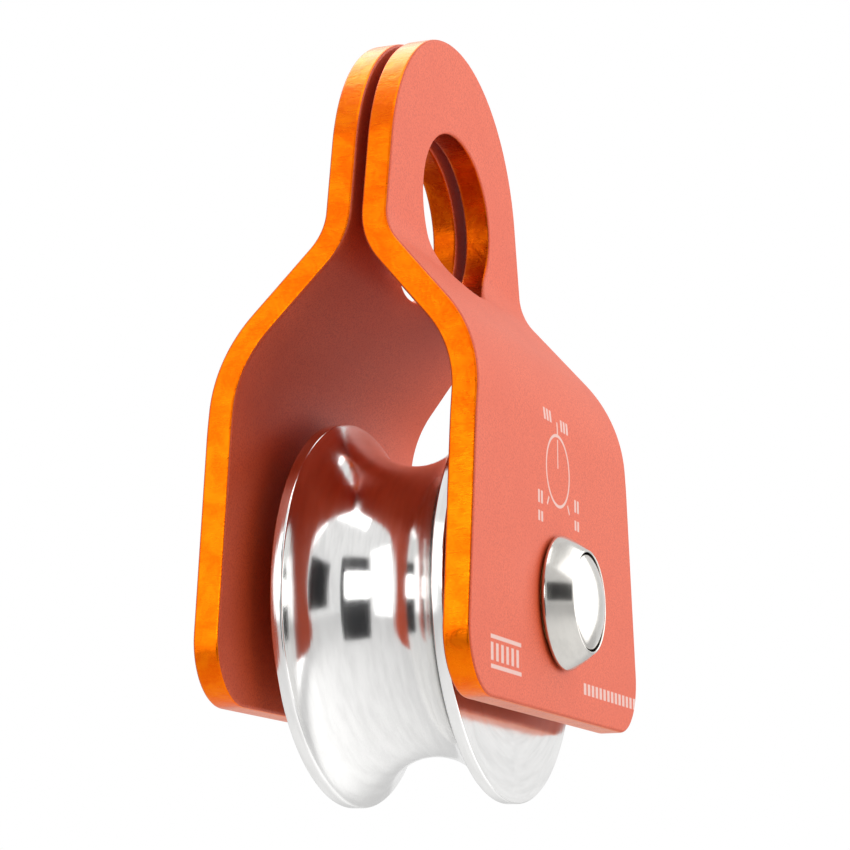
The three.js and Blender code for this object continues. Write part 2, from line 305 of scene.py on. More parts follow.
def blasted_grain(name):
    """Fine pits over soft clouds, as on a bead-blasted plate."""
    tree, given, result = new_group(
        name, {"Pits per Metre": 4200, "Clouds per Metre": 60}, ["Pits", "Clouds"]
    )
    point = object_point(tree)
    tree.links.new(noise(tree, point, given["Pits per Metre"], 2, 0.6), result["Pits"])
    clouds = noise(tree, point, given["Clouds per Metre"], 3, 0.6)
    tree.links.new(step_up(tree, clouds, 0.3, 0.7), result["Clouds"])
    return tree


def cut_mottle(name):
    """Blotches and short striations across the plate's thickness, as on a cut edge."""
    tree, given, result = new_group(name, {"Blotches per Metre": 420}, ["Blotches", "Striations"])
    point = object_point(tree)
    blotches = noise(tree, point, given["Blotches per Metre"], 4, 0.62, 0.4)
    tree.links.new(step_up(tree, blotches, 0.32, 0.68), result["Blotches"])
    stretch = {"Vector": point, "Scale": (5, 1, 1)}
    drawn = put(tree, "ShaderNodeMapping", {"vector_type": "TEXTURE"}, stretch).outputs[0]
    striations_per_metre = 1900
    tree.links.new(noise(tree, drawn, striations_per_metre, 2, 0.6), result["Striations"])
    return tree


def turned_lines(name):
    """Fine lines round the pin's axis, broken up a little along their length."""
    tree, given, result = new_group(
        name, {"Lines per Metre": 5200, "Bands per Metre": 520}, ["Lines", "Bands", "Smears"]
    )
    place = put(tree, "ShaderNodeSeparateXYZ", {}, {0: object_point(tree)}).outputs
    radius = length_of(tree, place[1], place[2])
    turn = calc(tree, "ARCTAN2", place[1], place[2])
    section = put(tree, "ShaderNodeCombineXYZ", {}, {0: place[0], 1: radius}).outputs[0]
    tree.links.new(noise(tree, section, given["Lines per Metre"], 2, 0.7), result["Lines"])
    tree.links.new(noise(tree, section, given["Bands per Metre"], 3, 0.6), result["Bands"])
    smear_length = 4 * MM
    long_arc = calc(tree, "MULTIPLY", turn, smear_length)
    smeared = put(tree, "ShaderNodeCombineXYZ", {}, {0: place[0], 1: radius, 2: long_arc}).outputs[0]
    smears = noise(tree, smeared, given["Bands per Metre"], 3, 0.65)
    tree.links.new(step_up(tree, smears, 0.35, 0.7), result["Smears"])
    return tree


def etched_marks(name):
    """A load dial, plain dashes and a plain badge, on the near cheek's outer face only."""
    tree, _, result = new_group(name, {}, ["Marks"])
    place = put(tree, "ShaderNodeSeparateXYZ", {}, {0: object_point(tree)}).outputs
    across, up = place[1], place[2]

    def times(value, factor):
        return calc(tree, "MULTIPLY", value, factor)

    def offset_from(y, z):
        return calc(tree, "SUBTRACT", across, y * MM), calc(tree, "SUBTRACT", up, z * MM)

    def inside(value, limit, soft=0.08 * MM):
        """1 where value is under limit."""
        return calc(tree, "SUBTRACT", 1, step_up(tree, value, limit - soft, limit + soft))

    def bar(y, z, half_length, half_width, degrees=0.0):
        """A straight dash about (y, z), turned from level."""
        turn = math.radians(degrees)
        dy, dz = offset_from(y, z)
        run = calc(tree, "ADD", times(dy, math.cos(turn)), times(dz, math.sin(turn)))
        side = calc(tree, "SUBTRACT", times(dz, math.cos(turn)), times(dy, math.sin(turn)))
        long_way = inside(calc(tree, "ABSOLUTE", run), half_length * MM)
        return times(long_way, inside(calc(tree, "ABSOLUTE", side), half_width * MM))

    def circle(y, z, radius, half_width):
        """A thin ring about (y, z)."""
        distance = length_of(tree, *offset_from(y, z))
        off_ring = calc(tree, "ABSOLUTE", calc(tree, "SUBTRACT", distance, radius * MM))
        return inside(off_ring, half_width * MM)

    def dashes(y, z, half_length, half_height, pitch, share):
        """A level row of equal upright dashes about (y, z)."""
        offset = calc(tree, "SUBTRACT", across, (y - half_length) * MM)
        phase = calc(tree, "FRACT", calc(tree, "DIVIDE", offset, pitch * MM))
        teeth = inside(phase, share, 0.05)
        return times(teeth, bar(y, z, half_length, half_height))

    # in mm from the pin: the middle's y and z, half the length, half the height and, for dashes,
    # their pitch and how much of it they fill
    dial_y, dial_z, dial_radius = -0.2, 20.8, 5.6
    marks = [
        circle(dial_y, dial_z, dial_radius, 0.24),
        bar(dial_y, dial_z + dial_radius + 1.1, 1.1, 0.26, 90),
        bar(dial_y, dial_z + 2.7, 2.3, 0.2, 90),
        bar(dial_y - 5.0, dial_z - 5.4, 0.8, 0.24, 55),
        bar(dial_y + 5.0, dial_z - 5.4, 0.8, 0.24, -55),
        dashes(dial_y - 4.4, dial_z + 8.2, 1.9, 0.95, 1.4, 0.62),
        dashes(dial_y + 3.6, dial_z + 7.6, 1.9, 0.95, 1.4, 0.62),
        dashes(dial_y - 8.6, dial_z - 5.4, 1.2, 1.0, 1.4, 0.62),
        dashes(dial_y - 8.6, dial_z - 8.4, 1.2, 0.8, 1.4, 0.62),
        dashes(dial_y + 9.2, dial_z - 4.2, 1.2, 1.0, 1.4, 0.62),
        dashes(dial_y + 9.2, dial_z - 7.3, 1.2, 0.8, 1.4, 0.62),
        dashes(25.4, -12.1, 14.2, 0.9, 2.05, 0.62),
        bar(-25.2, -8.6, 6.6, 0.3),
        bar(-25.2, -12.9, 6.6, 0.3),
        dashes(-25.2, -10.75, 6.6, 1.3, 2.2, 0.5),
    ]
    total = marks[0]
    for mark in marks[1:]:
        total = calc(tree, "MAXIMUM", total, mark)
    mostly_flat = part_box("near_cheek")[1].x - 2 * MM
    on_face = calc(tree, "GREATER_THAN", place[0], mostly_flat)
    tree.links.new(times(total, on_face), result["Marks"])
    return tree


GROUPS = {
    "Blasted grain": blasted_grain,
    "Cut mottle": cut_mottle,
    "Turned lines": turned_lines,
    "Etched marks": etched_marks,
}


# ---- finishes ----


def start_material(name):
    """An empty material, its tree and its shader."""
    material = bpy.data.materials.new(name)
    material.use_nodes = True
    tree = material.node_tree
    tree.nodes.clear()
    shader = tree.nodes.new("ShaderNodeBsdfPrincipled")
    output = tree.nodes.new("ShaderNodeOutputMaterial")
    tree.links.new(shader.outputs[0], output.inputs[0])
    return material, tree, shader


def set_shader(tree, shader, values):
    """Puts a value or a link on each named socket of a shader."""
    for key, value in values.items():
        if isinstance(value, bpy.types.NodeSocket):
            tree.links.new(value, shader.inputs[key])
        else:
            shader.inputs[key].default_value = value


def bump(tree, height, strength, distance):
    """A normal that is tilted by a height."""
    inputs = {"Height": height, "Strength": strength, "Distance": distance}
    return put(tree, "ShaderNodeBump", {}, inputs).outputs[0]


def anodised_face(name, marked=False):
    """Bead-blasted plate, dyed orange: matte, a little chalky at a slant, and finely pitted."""
    finish = bpy.context.scene.pulley_finishes
    material, tree, shader = start_material(name)
    grain = use_group(tree, "Blasted grain", {"Pits per Metre": 3600, "Clouds per Metre": 70})
    specks = step_up(tree, grain["Pits"], 0.38, 0.66)
    shade = calc(tree, "MAXIMUM", calc(tree, "MULTIPLY", grain["Clouds"], 0.5), specks)
    dye = blend_colours(tree, shade, finish.face_dye, finish.face_shade)
    roughness = spread(tree, grain["Pits"], 0.42, 0.56)
    metallic = spread(tree, grain["Clouds"], 0.12, 0.18)
    if marked:
        marks = use_group(tree, "Etched marks", {})["Marks"]
        worn = calc(tree, "MULTIPLY", marks, spread(tree, grain["Pits"], 0.5, 0.95))
        dye = blend_colours(tree, worn, dye, finish.mark)
        metallic = calc(tree, "MULTIPLY", metallic, calc(tree, "SUBTRACT", 1, worn))
    set_shader(
        tree,
        shader,
        {
            "Base Color": dye,
            "Roughness": roughness,
            "Metallic": metallic,
            "Specular IOR Level": 0.5,
            "Normal": bump(tree, grain["Pits"], 0.45, 0.06 * MM),
        },
    )
    return material


def anodised_edge(name, bright, dark):
    """Cut edges and bores under the same dye: glossier, brighter and blotchy; the bores get a darker
    colour, painted shade inside the eyes.
    """
    material, tree, shader = start_material(name)
    mottle = use_group(tree, "Cut mottle", {"Blotches per Metre": 270})
    grain = use_group(tree, "Blasted grain", {"Pits per Metre": 2400, "Clouds per Metre": 150})
    shade = calc(tree, "MULTIPLY", mottle["Blotches"], spread(tree, grain["Pits"], 0.3, 1.0))
    swell = calc(tree, "MULTIPLY", mottle["Blotches"], 1.4)
    height = calc(tree, "ADD", swell, mottle["Striations"])
    set_shader(
        tree,
        shader,
        {
            "Base Color": blend_colours(tree, shade, bright, dark),
            "Roughness": spread(tree, mottle["Striations"], 0.2, 0.38),
            "Metallic": 1.0,
            "Normal": bump(tree, height, 0.25, 0.1 * MM),
        },
    )
    return material


def turned_metal(name, base, roughness, line_depth, dirt):
    """A metal turned on a lathe: fine lines round it, line_depth deep in mm, and uneven gloss."""
    material, tree, shader = start_material(name)
    lines = use_group(tree, "Turned lines", {"Lines per Metre": 5200, "Bands per Metre": 700})
    fine_share = 0.12
    fine = calc(tree, "MULTIPLY", lines["Lines"], fine_share)
    waves = calc(tree, "ADD", lines["Bands"], fine)
    darker = tuple(channel * (1 - dirt) for channel in base)
    low, high = roughness
    set_shader(
        tree,
        shader,
        {
            "Base Color": blend_colours(tree, lines["Smears"], base, darker),
            "Roughness": spread(tree, lines["Bands"], low, high),
            "Metallic": 1.0,
            "Normal": bump(tree, waves, 1.0, line_depth * MM),
        },
    )
    return material


def moulded_nylon(name):
    """Black nylon, faintly mottled."""
    finish = bpy.context.scene.pulley_finishes
    material, tree, shader = start_material(name)
    grain = use_group(tree, "Blasted grain", {"Pits per Metre": 2600, "Clouds per Metre": 120})
    lighter = tuple(min(1, channel * 1.6) for channel in finish.nylon)
    set_shader(
        tree,
        shader,
        {
            "Base Color": blend_colours(tree, grain["Clouds"], finish.nylon, lighter),
            "Roughness": spread(tree, grain["Pits"], 0.45, 0.62),
            "Specular IOR Level": 0.4,
            "Normal": bump(tree, grain["Pits"], 0.2, 0.05 * MM),
        },
    )
    return material


def finish_material(name):
    """One of the pulley's materials, made the first time that it is asked for.

    The frame brings in plain materials that use the slots' own names, so a finish's name differs.
    """
    finish = bpy.context.scene.pulley_finishes
    makers = {
        "anodised_face": anodised_face,
        "anodised_marked_face": lambda n: anodised_face(n, marked=True),
        "anodised_edge": lambda n: anodised_edge(n, finish.edge_dye, finish.edge_shade),
        # the bores' darker colours are painted shade inside the eyes
        "anodised_bore": lambda n: anodised_edge(n, finish.bore_dye_in_painted_shade, finish.bore_blotch_in_painted_shade),
        "polished_aluminium": lambda n: turned_metal(n, finish.aluminium, (0.06, 0.2), 0.014, 0.1),
        "stainless": lambda n: turned_metal(n, finish.stainless, (0.12, 0.22), 0.008, 0.08),
        "bearing_steel": lambda n: turned_metal(n, finish.bearing_steel, (0.14, 0.24), 0.02, 0.08),
        "spring_steel": lambda n: turned_metal(n, finish.spring_steel, (0.34, 0.5), 0.03, 0.2),
        "bronze": lambda n: turned_metal(n, finish.bronze, (0.3, 0.46), 0.03, 0.25),
        "nylon": moulded_nylon,
    }
    finished = "finished_" + name
    return bpy.data.materials.get(finished) or makers[name](finished)


# ---- mesh helpers ----


class Pen:
    """Draws a wire of straight runs and arcs in a bmesh, from one vertex to the next."""

    def __init__(self, bm, start, axis):
        self.bm = bm
        self.axis = Vector(axis)
        self.first = bmesh.ops.create_vert(bm, co=start)["vert"][0]
        self.tip = self.first

    def line(self, to):
        self.tip = bmesh.ops.extrude_vert_indiv(self.bm, verts=[self.tip])["verts"][0]
        self.tip.co = to

    def arc(self, centre, angle, steps):
        """Turns on from the tip about the centre; a positive angle is anticlockwise about the axis."""
        made = bmesh.ops.spin(
            self.bm, geom=[self.tip], cent=centre, axis=self.axis, angle=angle, steps=steps
        )
        self.tip = next(item for item in made["geom_last"] if isinstance(item, bmesh.types.BMVert))

    def rounded(self, corner, following, radius, steps):
        """Goes to a rounded corner and round it, towards the point that follows."""
        corner = Vector(corner)
        back = (self.tip.co - corner).normalized()
        on = (Vector(following) - corner).normalized()
        half = back.angle(on) / 2
        side = 1 if self.axis.dot(on.cross(back)) > 0 else -1
        centre = corner + (back + on).normalized() * (radius / math.sin(half))
        self.line(corner + back * (radius / math.tan(half)))
        self.arc(centre, side * (math.pi - 2 * half), steps)

    def close(self):
        self.bm.edges.new((self.tip, self.first))


def profile_pen(bm, x, radius):
    """A pen for a turned piece's section, in points (x along the pin, radius)."""
    return Pen(bm, (x, 0, radius), ACROSS)


def at(x, radius):
    """A point of a turned piece's section."""
    return Vector((x, 0, radius))


def soften(bm, width, segments=3, sharper_than=25):
    """Rounds the edges where faces meet at more than an angle, in degrees."""
    sharp = [
        edge
        for edge in bm.edges
        if len(edge.link_faces) == 2 and edge.calc_face_angle() > math.radians(sharper_than)
    ]
    bmesh.ops.bevel(
        bm,
        geom=sharp,
        offset=width,
        offset_type="OFFSET",
        affect="EDGES",
        segments=segments,
        profile=0.5,
        material=-1,
        loop_slide=False,
    )


def revolve(bm, sides):
    """Spins a section round the pin's axis into a closed skin."""
    bmesh.ops.spin(
        bm,
        geom=bm.verts[:] + bm.edges[:],
        cent=(0, 0, 0),
        axis=ALONG_PIN,
        angle=2 * math.pi,
        steps=sides,
        use_merge=True,
    )
    bmesh.ops.remove_doubles(bm, verts=bm.verts[:], dist=WELD)
    bmesh.ops.recalc_face_normals(bm, faces=bm.faces[:])


def half_turn(bm):
    """Turns a near-side piece round to the far side."""
    bmesh.ops.rotate(bm, verts=bm.verts[:], cent=(0, 0, 0), matrix=Matrix.Rotation(math.pi, 3, "Z"))


def place_object(bm, name, materials):
    """A new object in the scene from a bmesh, which is freed."""
    mesh = bpy.data.meshes.new(name)
    bm.to_mesh(mesh)
    bm.free()
    for material in materials:
        mesh.materials.append(material)
    placed = bpy.data.objects.new(name, mesh)
    bpy.context.scene.collection.objects.link(placed)
    return placed


def thicken(bm, thickness):
    """Gives a flat sheet of faces, which lies square to the pin, a thickness along it."""
    made = bmesh.ops.extrude_face_region(bm, geom=bm.faces[:], use_keep_orig=True)["geom"]
    raised = [item for item in made if isinstance(item, bmesh.types.BMVert)]
    bmesh.ops.translate(bm, verts=raised, vec=(thickness, 0, 0))
    bmesh.ops.recalc_face_normals(bm, faces=bm.faces[:])


def finish_piece(bm, name, node, materials):
    """Puts a mesh drawn about the pin's axis in place as a piece that stands for a node."""
    bmesh.ops.translate(bm, verts=bm.verts[:], vec=(0, 0, PIN_HEIGHT))
    for face in bm.faces:
        face.smooth = True
    piece = place_object(bm, name, [finish_material(material) for material in materials])
    even = piece.modifiers.new("Even shading", "WEIGHTED_NORMAL")
    even.mode = "FACE_AREA"
    even.weight = 80
    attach(piece, BODY_OF[node])
    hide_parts(node)


def turned_pair(name, draw, slot, sides, soft_edge):
    """The near and far copies of a turned piece, in the finish that its slot is named for.

    draw(bm) draws its near section.
    """
    for side in ("near", "far"):
        bm = bmesh.new()
        draw(bm)
        revolve(bm, sides)
        soften(bm, soft_edge)
        if side == "far":
            half_turn(bm)
        finish_piece(bm, f"{name}_{side}", f"{side}_{name}", [slot])


def plain_ring(node):
    """Draws the section of a plain ring, as long and wide as a node."""
    start, end = along(node)
    inner, outer = reach(node)

    def draw(bm):
        pen = profile_pen(bm, start, inner)
        for x, radius in ((end, inner), (end, outer), (start, outer)):
            pen.line(at(x, radius))
        pen.close()

    return draw


# ---- side plates ----


EYE_MARGIN = 1.05  # of the oval's size, which takes in its rounded edges
CUT_FACING = 0.86  # least sideways part of a cut edge's normal
FACE_FACING = 0.5  # past this, a normal belongs to a plate's broad side


def plate_surface(sizes, shift):
    """The near plate's middle surface, set out by shift: a function from height to x."""
    ear_x = (sizes.ear_gap + sizes.plate) / 2 + shift
    side_x = (sizes.cheek_space + sizes.plate) / 2 + shift
    slope = math.atan2(side_x - ear_x, sizes.upper_bend_height - sizes.lower_bend_height)
    rise = shift * math.tan(slope / 2)
    upper_radius = sizes.upper_bend - shift
    lower_radius = sizes.lower_bend + shift
    upper_centre_x = ear_x + upper_radius
    upper_centre_z = sizes.upper_bend_height + rise + upper_radius * math.tan(slope / 2)
    lower_centre_x = side_x - lower_radius
    lower_centre_z = sizes.lower_bend_height + rise - lower_radius * math.tan(slope / 2)
    upper_end_z = upper_centre_z - upper_radius * math.sin(slope)
    lower_end_z = lower_centre_z + lower_radius * math.sin(slope)

    def x_at(z):
        if z >= upper_centre_z:
            return ear_x
        if z > upper_end_z:
            return upper_centre_x - math.sqrt(upper_radius**2 - (z - upper_centre_z) ** 2)
        if z > lower_end_z:
            return ear_x + (sizes.upper_bend_height + rise - z) * math.tan(slope)
        if z > lower_centre_z:
            return lower_centre_x + math.sqrt(lower_radius**2 - (z - lower_centre_z) ** 2)
        return side_x

    return x_at, (upper_end_z, upper_centre_z), (lower_centre_z, lower_end_z)


def draw_plate_outline(bm, sizes):
    """Half the outline, from the top of the ear to the middle of the foot, and its mirror image."""
    eye = Vector((0, 0, sizes.eye_above_pin))
    shoulder = Vector((0, sizes.shoulder_half, sizes.shoulder_height))
    foot = Vector((0, sizes.foot_half, -sizes.foot_depth))
    to_shoulder = shoulder - eye
    fall = math.atan2(to_shoulder.z, to_shoulder.y)
    tangent = fall + math.acos(sizes.ear_radius / to_shoulder.length)
    pen = Pen(bm, eye + Vector((0, 0, sizes.ear_radius)), ALONG_PIN)
    pen.arc(eye, tangent - math.pi / 2, steps=48)
    pen.rounded(shoulder, foot, sizes.shoulder_radius, steps=14)
    pen.rounded(foot, (0, 0, foot.z), sizes.foot_corner, steps=20)
    pen.line((0, 0, foot.z))
    geometry = bm.verts[:] + bm.edges[:]
    bmesh.ops.mirror(bm, geom=geometry, matrix=Matrix.Identity(4), merge_dist=WELD * 10, axis="Y")
    bmesh.ops.remove_doubles(bm, verts=bm.verts[:], dist=WELD * 10)
    facing = Matrix.Rotation(math.pi / 2, 4, "Y")
    clearance = 0.15 * MM
    bore_radius = reach("near_bush")[1] + clearance
    holes = (
        (eye, sizes.eye_half_width, sizes.eye_half_height),
        (Vector(), bore_radius, bore_radius),
    )
    for centre, half_width, half_height in holes:
        oval = Matrix.Diagonal((1, half_width, half_height, 1))
        matrix = Matrix.Translation(centre) @ oval @ facing
        bmesh.ops.create_circle(bm, cap_ends=False, segments=112, radius=1, matrix=matrix)


def cut_levels(bm, heights):
    """Cuts the flat plate level at each height, and clears the slanting edges between the cuts."""
    for height in heights:
        bmesh.ops.bisect_plane(
            bm,
            geom=bm.verts[:] + bm.edges[:] + bm.faces[:],
            dist=WELD,
            plane_co=(0, 0, height),
            plane_no=(0, 0, 1),
        )
    slanting = [
        edge
        for edge in bm.edges
        if len(edge.link_faces) == 2
        and all(abs(face.normal.x) > 0.9999 for face in edge.link_faces)
        and abs(edge.verts[0].co.z - edge.verts[1].co.z) > WELD * 10
    ]
    bmesh.ops.dissolve_edges(bm, edges=slanting, use_verts=False, use_face_split=False)


def build_cheek(side):
    """Draws a plate flat, rounds its edges, cuts it level where it bends, and bends it."""
    sizes = bpy.context.scene.pulley_cheeks
    bm = bmesh.new()
    draw_plate_outline(bm, sizes)
    bmesh.ops.triangle_fill(bm, edges=bm.edges[:], use_beauty=True, normal=ALONG_PIN)
    outer_x, outer_upper, outer_lower = plate_surface(sizes, sizes.plate / 2)
    inner_x, inner_upper, inner_lower = plate_surface(sizes, -sizes.plate / 2)
    heights = [0, sizes.eye_above_pin]
    for outer, inner, count in ((outer_upper, inner_upper, 26), (outer_lower, inner_lower, 30)):
        low, high = min(outer[0], inner[0]), max(outer[1], inner[1])
        heights += [low + (high - low) * i / count for i in range(count + 1)]
    inside = [edge for edge in bm.edges if len(edge.link_faces) == 2]
    bmesh.ops.dissolve_edges(bm, edges=inside, use_verts=False, use_face_split=False)
    thicken(bm, sizes.plate)
    soften(bm, sizes.soft_edge, segments=5, sharper_than=60)
    cut_levels(bm, heights)
    for vertex in bm.verts:
        share = vertex.co.x / sizes.plate
        inner, outer = inner_x(vertex.co.z), outer_x(vertex.co.z)
        vertex.co.x = inner + (outer - inner) * share
    for face in bm.faces:
        face.normal_update()
        middle_point = face.calc_center_median()
        across = abs(middle_point.y) / sizes.eye_half_width
        above = abs(middle_point.z - sizes.eye_above_pin) / sizes.eye_half_height
        in_eye = math.hypot(across, above) < EYE_MARGIN
        sideways = math.hypot(face.normal.y, face.normal.z) > CUT_FACING
        cut = sideways and abs(face.normal.x) < FACE_FACING
        # index 2 marks the eyes' walls, whose darker edge colour is painted shade
        face.material_index = (2 if in_eye else 1) if cut else 0
    if side == "far":
        half_turn(bm)
    face_finish = "anodised_marked_face" if side == "near" else "anodised_face"
    finish_piece(
        bm,
        f"cheek_{side}",
        f"{side}_cheek",
        [face_finish, "anodised_edge", "anodised_bore"],
    )


class PULLEY_OT_cheeks(bpy.types.Operator):
    """Builds the two bent side plates"""

    bl_idname = "pulley.cheeks"
    bl_label = "Build Cheeks"

    def execute(self, context):
        for side in ("near", "far"):
            build_cheek(side)
        return {"FINISHED"}


# ---- sheave ----


class PULLEY_OT_sheave(bpy.types.Operator):
    """Builds the grooved wheel"""

    bl_idname = "pulley.sheave"
    bl_label = "Build Sheave"

    def execute(self, context):
        sizes = context.scene.pulley_sheave
        start, end = along("sheave")
        bore, rim = reach("sheave")
        race_from, _ = along("outer_race")
        seat = bore + sizes.hub_shoulder
        groove_half = end - sizes.rim_land
        depth = sizes.groove_depth
        arc_radius = (groove_half**2 + depth**2) / (2 * depth)
        half_sweep = math.asin(groove_half / arc_radius)
        ring_from, ring_to = along("retaining_ring")
        room = 0.15 * MM
        groove_from, groove_to = ring_from - room, ring_to + room
        ring_groove = reach("retaining_ring")[1] + room
        stop = race_from - 2 * room
        bm = bmesh.new()
        pen = profile_pen(bm, start, bore + sizes.recess_chamfer)
        pen.line(at(start + sizes.recess_chamfer, bore))
        pen.line(at(stop, bore))
        pen.line(at(stop, seat))
        pen.line(at(groove_from, seat))
        pen.line(at(groove_from, ring_groove))
        pen.line(at(groove_to, ring_groove))
        pen.line(at(groove_to, seat))
        pen.line(at(end - sizes.recess_chamfer, seat))
        pen.line(at(end, seat + sizes.recess_chamfer))
        pen.line(at(end, rim))
        pen.line(at(groove_half, rim))
        pen.arc(at(0, rim - depth + arc_radius), -2 * half_sweep, steps=64)
        pen.line(at(start, rim))
        pen.close()
        revolve(bm, sizes.sides)
        soften(bm, sizes.soft_edge, segments=3, sharper_than=20)
        metal = "polished_aluminium"
        finish_piece(bm, "grooved_sheave", "sheave", [metal])
        return {"FINISHED"}


# ---- pin, collars, bushes, washers and spacers ----


class PULLEY_OT_axle(bpy.types.Operator):
    """Builds the pin, its collars, and the bushes, washers and spacers on it"""

    bl_idname = "pulley.axle"
    bl_label = "Build Axle"

    def execute(self, context):
        sizes = context.scene.pulley_axle

        def draw_collar(bm):
            base, top = along("near_collar")
            bore, foot = reach("near_collar")
            pen = profile_pen(bm, base, bore)
            pen.line(at(top, bore))
            pen.line(at(top, bore + sizes.collar_top))
            rim = at(base + sizes.collar_rim, foot)
            chord = rim - pen.tip.co
            belly = sizes.collar_belly
            radius = chord.length_squared / (8 * belly) + belly / 2
            outwards = Vector((-chord.z, 0, chord.x)).normalized()
            if outwards.z < 0:
                outwards = -outwards
            centre = pen.tip.co + chord / 2 - outwards * (radius - belly)
            pen.arc(centre, 2 * math.asin(chord.length / 2 / radius), steps=10)
            pen.line(at(base + sizes.collar_rim / 2, foot))
            pen.line(at(base, foot - sizes.collar_rim / 2))
            pen.close()

        turned_pair("collar", draw_collar, "stainless", sizes.sides, sizes.soft_edge)
        for name, slot in (("bush", "bronze"), ("washer", "nylon"), ("spacer", "stainless")):
            draw = plain_ring(f"near_{name}")
            turned_pair(name, draw, slot, sizes.sides, sizes.soft_edge)

        start, end = along("axle_pin")
        _, radius = reach("axle_pin")
        dome_radius = (radius**2 + sizes.dome**2) / (2 * sizes.dome)
        sweep = math.asin(radius / dome_radius)
        bm = bmesh.new()
        pen = profile_pen(bm, end, 0)
        pen.arc(at(end - dome_radius, 0), sweep, steps=20)
        pen.line(at(start + sizes.dome, radius))
        pen.arc(at(start + dome_radius, 0), sweep, steps=20)
        revolve(bm, sizes.sides)
        soften(bm, sizes.soft_edge, sharper_than=40)
        finish_piece(bm, "domed_pin", "axle_pin", ["stainless"])
        return {"FINISHED"}


# ---- ball bearing and snap ring ----


BEARING_SIDES = 128


def build_race(inner_race):
    """The inner or the outer race, with its track for the balls."""
    sizes = bpy.context.scene.pulley_bearing
    node = "inner_race" if inner_race else "outer_race"
    start, end = along(node)
    bore, rim = reach(node)
    pitch = (reach("inner_race")[0] + reach("outer_race")[1]) / 2
    track = sizes.ball + sizes.play
    plain = bore if inner_race else rim
    shoulder = bore + sizes.race_wall if inner_race else rim - sizes.race_wall
    half_track = math.sqrt(track**2 - (pitch - shoulder) ** 2)
    sweep = 2 * math.asin(half_track / track)
    bm = bmesh.new()
    pen = profile_pen(bm, start, plain)
    pen.line(at(end, plain))
    pen.line(at(end, shoulder))
    pen.line(at(half_track, shoulder))
    pen.arc(at(0, pitch), -sweep if inner_race else sweep, steps=24)
    pen.line(at(start, shoulder))
    pen.close()
    revolve(bm, BEARING_SIDES)
    soften(bm, 0.2 * MM, sharper_than=40)
    finish_piece(bm, f"bearing_{node}", node, ["bearing_steel"])


def build_snap_ring():
    """An open ring that ends in two lugs with holes for the pliers."""
    sizes = bpy.context.scene.pulley_bearing
    start, end = along("retaining_ring")
    _, outer = reach("retaining_ring")
    inner = outer - sizes.ring_band
    lug_centre = outer - sizes.ring_lug
    half_gap = sizes.ring_gap / 2
    spread_cosine = (lug_centre**2 + inner**2 - sizes.ring_lug**2) / (2 * lug_centre * inner)
    spread_angle = math.acos(spread_cosine)

    def on_circle(radius, angle):
        """A point at an angle from straight up, clockwise as seen from the near side."""
        return Vector((0, math.sin(angle), math.cos(angle))) * radius

    bm = bmesh.new()
    pen = Pen(bm, on_circle(outer, half_gap), -ALONG_PIN)
    pen.arc((0, 0, 0), 2 * math.pi - 2 * half_gap, steps=96)
    for lug_angle, ring_turn in ((2 * math.pi - half_gap, True), (half_gap, False)):
        centre = on_circle(lug_centre, lug_angle)
        meeting = on_circle(inner, lug_angle - spread_angle if ring_turn else half_gap)
        target = meeting if ring_turn else pen.first.co
        from_centre, to_centre = pen.tip.co - centre, target - centre
        angle = from_centre.angle(to_centre)
        if (-ALONG_PIN).dot(from_centre.cross(to_centre)) < 0:
            angle = 2 * math.pi - angle
        pen.arc(centre, angle, steps=20)
        if ring_turn:
            inner_sweep = 2 * math.pi - 2 * half_gap - 2 * spread_angle
            pen.arc((0, 0, 0), -inner_sweep, steps=90)
    bmesh.ops.remove_doubles(bm, verts=bm.verts[:], dist=WELD * 100)
    facing = Matrix.Rotation(math.pi / 2, 4, "Y")
    for lug_angle in (half_gap, -half_gap):
        matrix = Matrix.Translation(on_circle(lug_centre, lug_angle)) @ facing
        bmesh.ops.create_circle(
            bm, cap_ends=False, segments=28, radius=sizes.ring_lug_hole, matrix=matrix
        )
    bmesh.ops.triangle_fill(bm, edges=bm.edges[:], use_beauty=True, normal=ALONG_PIN)
    bmesh.ops.translate(bm, verts=bm.verts[:], vec=(start, 0, 0))
    thicken(bm, end - start)
    soften(bm, 0.15 * MM, sharper_than=60)
    finish_piece(bm, "snap_ring", "retaining_ring", ["spring_steel"])


class PULLEY_OT_bearing(bpy.types.Operator):
    """Builds the sealed ball bearing and the snap ring that keeps it in"""

    bl_idname = "pulley.bearing"
    bl_label = "Build Bearing"

    def execute(self, context):
        build_race(inner_race=True)
        build_race(inner_race=False)
        draw = plain_ring("near_shield")
        turned_pair("shield", draw, "spring_steel", BEARING_SIDES, 0.1 * MM)
        radius = context.scene.pulley_bearing.ball
        balls = [node for node in BODY_OF if node.startswith("ball_") and node != "ball_cage"]
        for node in balls:
            bm = bmesh.new()
            bmesh.ops.create_uvsphere(bm, u_segments=32, v_segments=18, radius=radius)
            centre = middle(node) - Vector((0, 0, PIN_HEIGHT))
            bmesh.ops.translate(bm, verts=bm.verts[:], vec=centre)
            finish_piece(bm, f"bearing_{node}", node, ["bearing_steel"])
        cage = frame["nodes"]["ball_cage"]
        cage.data.materials.clear()
        cage.data.materials.append(finish_material("nylon"))
        build_snap_ring()
        return {"FINISHED"}


# ---- stage ----


